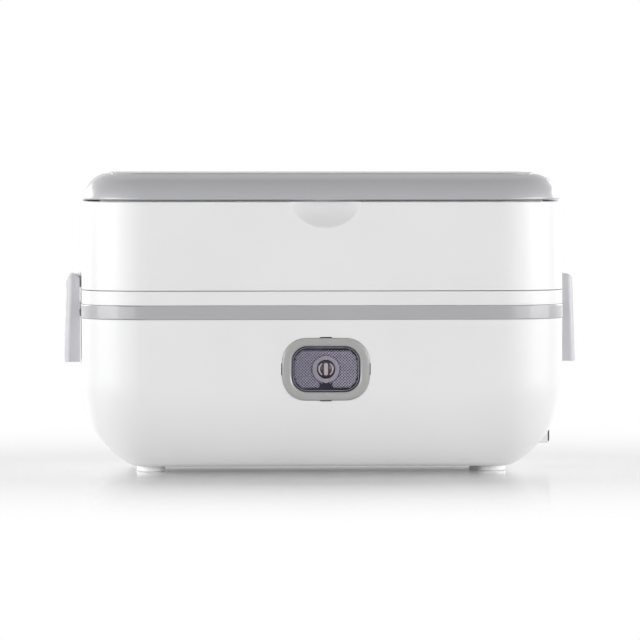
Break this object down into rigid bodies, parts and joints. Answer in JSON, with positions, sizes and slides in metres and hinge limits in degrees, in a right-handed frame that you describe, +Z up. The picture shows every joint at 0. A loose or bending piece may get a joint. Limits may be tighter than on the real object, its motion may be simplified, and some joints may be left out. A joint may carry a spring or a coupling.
{
  "type": "electric lunch box",
  "caption": "Rounded rectangular two-tier electric lunch box: heated base with push button and power inlet, lift-off upper tier with side latches, rear-hinged lid, steel dishes.",
  "frame": {"origin": "on the table, under the middle of the whole outline", "axes": "+X along the long side, +Z up, the front with the button faces -Y, the lid hinge is at +Y"},
  "size_m": [0.2228, 0.1221, 0.1295],
  "materials": {
    "white_shell": "glossy white moulded plastic",
    "grey_trim": "satin-glossy cool grey moulded plastic",
    "latch_grey": "satin pale grey moulded plastic",
    "bezel_grey": "satin pale grey moulded plastic",
    "smoked_lens": "smoked clear plastic with a fine diamond pattern",
    "mark_silver": "thin silver print",
    "inner_white": "plain white moulded plastic",
    "dark_plastic": "dark moulded plastic",
    "dish_steel": "drawn stainless steel sheet, fine brushed",
    "plate_aluminium": "plain aluminium",
    "screw_steel": "plated steel",
    "contact_brass": "plated brass",
    "silicone": "translucent white silicone rubber",
    "foot_rubber": "white rubber",
    "circuit_board": "green circuit board",
    "wire_sleeve": "heat-proof wire sleeve",
    "led_clear": "clear lamp"
  },
  "bodies": {
    "base": {"base_shell": "white_shell", "rim_band": "grey_trim", "bottom_cover": "white_shell", "feet": "foot_rubber", "bottom_screws": "screw_steel", "basin": "dish_steel", "heating_plate": "plate_aluminium", "plate_seal": "silicone", "ptc_heater": "plate_aluminium", "heater_clamp": "screw_steel", "clamp_screws": "screw_steel", "thermostat": "dark_plastic", "thermal_fuse": "inner_white", "control_board": "circuit_board", "board_parts": "dark_plastic", "board_screws": "screw_steel", "inlet_housing": "dark_plastic", "inlet_pins": "contact_brass", "inlet_wires": "wire_sleeve", "heater_wires": "wire_sleeve", "button_bezel": "bezel_grey", "switch_board": "circuit_board", "tact_switch": "dark_plastic", "indicator_led": "led_clear"},
    "power_button": {"button_lens": "smoked_lens", "button_mark": "mark_silver", "button_plunger": "inner_white"},
    "lower_dish": {"lower_dish": "dish_steel"},
    "upper_tier": {"tier_collar": "white_shell", "tier_shell": "white_shell", "tier_seal": "silicone", "upper_dish": "dish_steel", "hinge_pins": "screw_steel", "latch_pins": "screw_steel"},
    "latch_left": {"latch_left": "latch_grey"},
    "latch_right": {"latch_right": "latch_grey"},
    "lid": {"lid_cover": "grey_trim", "lid_panel": "grey_trim", "lid_liner": "inner_white", "lid_seal": "silicone", "steam_plug": "silicone", "lid_screws": "screw_steel"}
  },
  "joints": [
    {"name": "button_press", "type": "slide", "parent": "base", "child": "power_button", "axis": [0, 1, 0], "range_m": [0, 0.0012], "stiffness_N_per_m": 400},
    {"name": "lower_dish_lift", "type": "slide", "parent": "base", "child": "lower_dish", "axis": [0, 0, 1], "range_m": [0, 0.06]},
    {"name": "upper_tier_lift", "type": "slide", "parent": "lower_dish", "child": "upper_tier", "axis": [0, 0, 1], "range_m": [0, 0.08]},
    {"name": "latch_left_swing", "type": "hinge", "parent": "upper_tier", "child": "latch_left", "pos_m": [-0.10745, -0.00305, 0.08245], "axis": [0, 1, 0], "range_deg": [0, 100]},
    {"name": "latch_right_swing", "type": "hinge", "parent": "upper_tier", "child": "latch_right", "pos_m": [0.10745, -0.00305, 0.08245], "axis": [0, -1, 0], "range_deg": [0, 100]},
    {"name": "lid_hinge", "type": "hinge", "parent": "upper_tier", "child": "lid", "pos_m": [0, 0.05805, 0.11755], "axis": [-1, 0, 0], "range_deg": [0, 105]}
  ]
}
